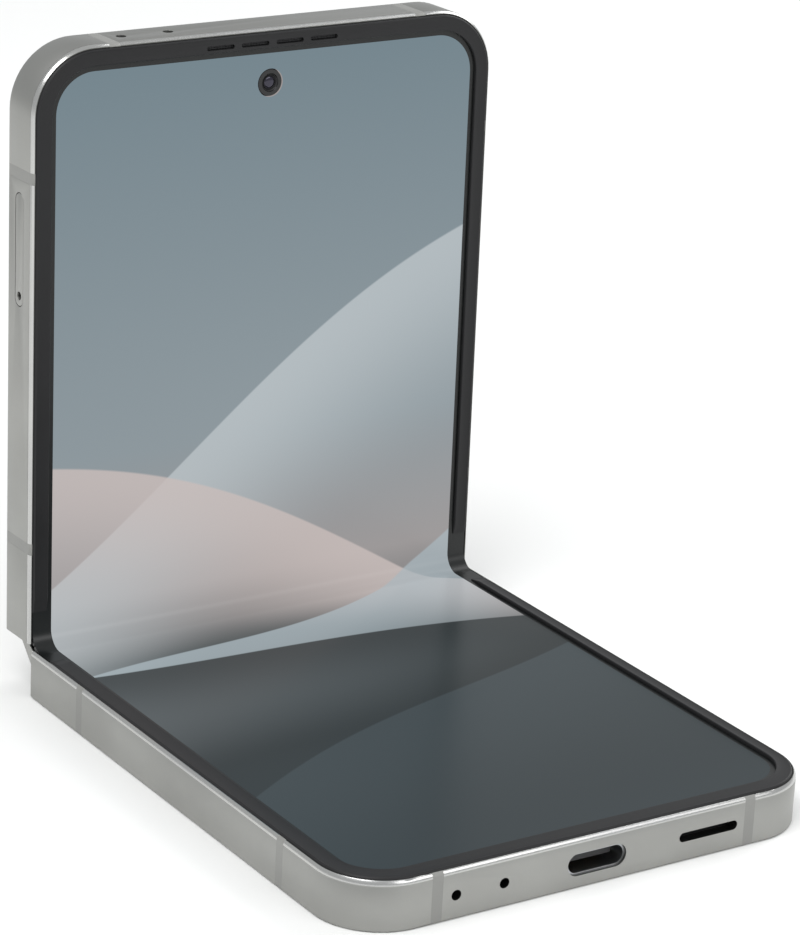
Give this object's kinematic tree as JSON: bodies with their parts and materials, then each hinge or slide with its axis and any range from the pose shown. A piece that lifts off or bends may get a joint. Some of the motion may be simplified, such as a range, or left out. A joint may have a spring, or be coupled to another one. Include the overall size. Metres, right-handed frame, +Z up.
{
  "type": "foldable smartphone",
  "caption": "Clamshell foldable phone, half open, with a flexible inner display, raised bezels, geared hinge, cover display and rear cameras.",
  "frame": {"origin": "middle of the lower half's back face, which lies on the table", "axes": "+X along the fold axis, -Y towards the free end with the charging port, +Z up out of the lower half's display"},
  "size_m": [0.0723, 0.0923, 0.09],
  "materials": {
    "frame_metal": "fine bead-blasted anodised, polished rim",
    "spine_metal": "satin anodised",
    "tray_metal": "fine bead-blasted anodised",
    "ring_metal": "turned and anodised",
    "back_glass": "frosted, opaque colour layer behind",
    "cover_glass": "polished, black printed behind",
    "camera_glass": "polished with a dark coating",
    "flash_glass": "frosted",
    "bezel_plastic": "fine matt",
    "antenna_plastic": "fine matt, filled flush",
    "display_film": "polished film over the screen",
    "fold_film": "polished film, flexible",
    "sheet_steel": "rolled",
    "battery_foil": "black laminated foil",
    "coil_copper": "enamelled copper wire",
    "board": "solder mask",
    "flex": "polyimide film",
    "black_plastic": "moulded",
    "mesh": "woven, blackened",
    "motor_steel": "drawn can",
    "hinge_steel": "sintered and ground",
    "gear_steel": "sintered, oiled",
    "screw_steel": "zinc plated",
    "led": "yellow phosphor"
  },
  "bodies": {
    "lower_half": {"lower_frame": "frame_metal", "lower_back_glass": "back_glass", "lower_bezel": "bezel_plastic", "lower_antenna_bands": "antenna_plastic", "display_lower": "display_film", "lower_support_plate": "sheet_steel", "lower_battery": "battery_foil", "charging_coil": "coil_copper", "sub_board": "board", "port_shell": "sheet_steel", "port_tongue": "black_plastic", "speaker_module": "black_plastic", "speaker_mesh": "mesh", "port_mic_meshes": "mesh", "vibration_motor": "motor_steel", "lower_rotator_left": "hinge_steel", "lower_rotator_right": "hinge_steel", "lower_hinge_screws": "screw_steel", "display_fold": "fold_film"},
    "spine": {"spine_cover": "spine_metal", "spine_cap_left": "spine_metal", "spine_cap_right": "spine_metal", "hinge_block_left": "hinge_steel", "hinge_block_right": "hinge_steel", "sync_block": "hinge_steel", "friction_sleeves": "hinge_steel"},
    "gear_shaft_lower": {"sync_arm_lower": "gear_steel"},
    "gear_idler_lower": {"idler_gear_lower": "gear_steel"},
    "gear_idler_upper": {"idler_gear_upper": "gear_steel"},
    "gear_shaft_upper": {"sync_arm_upper": "gear_steel"},
    "card_tray": {"card_tray": "tray_metal"},
    "power_key": {"power_key": "tray_metal"},
    "volume_rocker": {"volume_rocker": "tray_metal"},
    "upper_half": {"upper_frame": "frame_metal", "cover_window": "cover_glass", "cover_display": "display_film", "upper_bezel": "bezel_plastic", "upper_antenna_bands": "antenna_plastic", "display_upper": "display_film", "upper_support_plate": "sheet_steel", "upper_battery": "battery_foil", "main_board": "board", "shield_can": "sheet_steel", "card_receptacle": "sheet_steel", "key_switches": "flex", "earpiece": "black_plastic", "front_camera": "black_plastic", "camera_ring_main": "ring_metal", "camera_ring_wide": "ring_metal", "camera_glass_main": "camera_glass", "camera_glass_wide": "camera_glass", "camera_module_main": "black_plastic", "camera_module_wide": "black_plastic", "flash_window": "flash_glass", "flash_led": "led", "top_mic_meshes": "mesh", "upper_rotator_left": "hinge_steel", "upper_rotator_right": "hinge_steel", "upper_hinge_screws": "screw_steel"}
  },
  "joints": [
    {"name": "fold", "type": "hinge", "parent": "lower_half", "child": "upper_half", "pos_m": [0, 0.04127, 0.00745], "axis": [1, 0, 0], "range_deg": [-89, 91], "deforming": ["display_fold"]},
    {"name": "spine_turn", "type": "hinge", "parent": "lower_half", "child": "spine", "pos_m": [0, 0.04127, 0.00745], "axis": [1, 0, 0], "range_deg": [-44.5, 45.5]},
    {"name": "sync_lower", "type": "hinge", "parent": "spine", "child": "gear_shaft_lower", "pos_m": [0, 0.04131, 0.00467], "axis": [1, 0, 0], "range_deg": [-46, 46]},
    {"name": "idler_lower", "type": "hinge", "parent": "spine", "child": "gear_idler_lower", "pos_m": [0, 0.04222, 0.00557], "axis": [1, 0, 0], "range_deg": [-46, 46]},
    {"name": "idler_upper", "type": "hinge", "parent": "spine", "child": "gear_idler_upper", "pos_m": [0, 0.04314, 0.00647], "axis": [1, 0, 0], "range_deg": [-46, 46]},
    {"name": "sync_upper", "type": "hinge", "parent": "spine", "child": "gear_shaft_upper", "pos_m": [0, 0.04405, 0.00737], "axis": [1, 0, 0], "range_deg": [-46, 46]},
    {"name": "tray_slide", "type": "slide", "parent": "upper_half", "child": "card_tray", "axis": [-1, 0, 0], "range_m": [0, 0.014]},
    {"name": "power_press", "type": "slide", "parent": "upper_half", "child": "power_key", "axis": [-1, 0, 0], "range_m": [0, 0.0003], "stiffness_N_per_m": 2000, "springref_m": -0.0001},
    {"name": "volume_rock", "type": "hinge", "parent": "upper_half", "child": "volume_rocker", "pos_m": [0.03415, 0.04635, 0.06037], "axis": [0, -0.9998, 0.0175], "range_deg": [-1, 1], "stiffness_Nm_per_rad": 0.3}
  ],
  "couplings": [
    {"joint": "spine_turn", "follows": "fold", "ratio": 0.5},
    {"joint": "sync_lower", "follows": "fold", "ratio": -0.5},
    {"joint": "idler_lower", "follows": "fold", "ratio": 0.5},
    {"joint": "idler_upper", "follows": "fold", "ratio": -0.5},
    {"joint": "sync_upper", "follows": "fold", "ratio": 0.5}
  ]
}
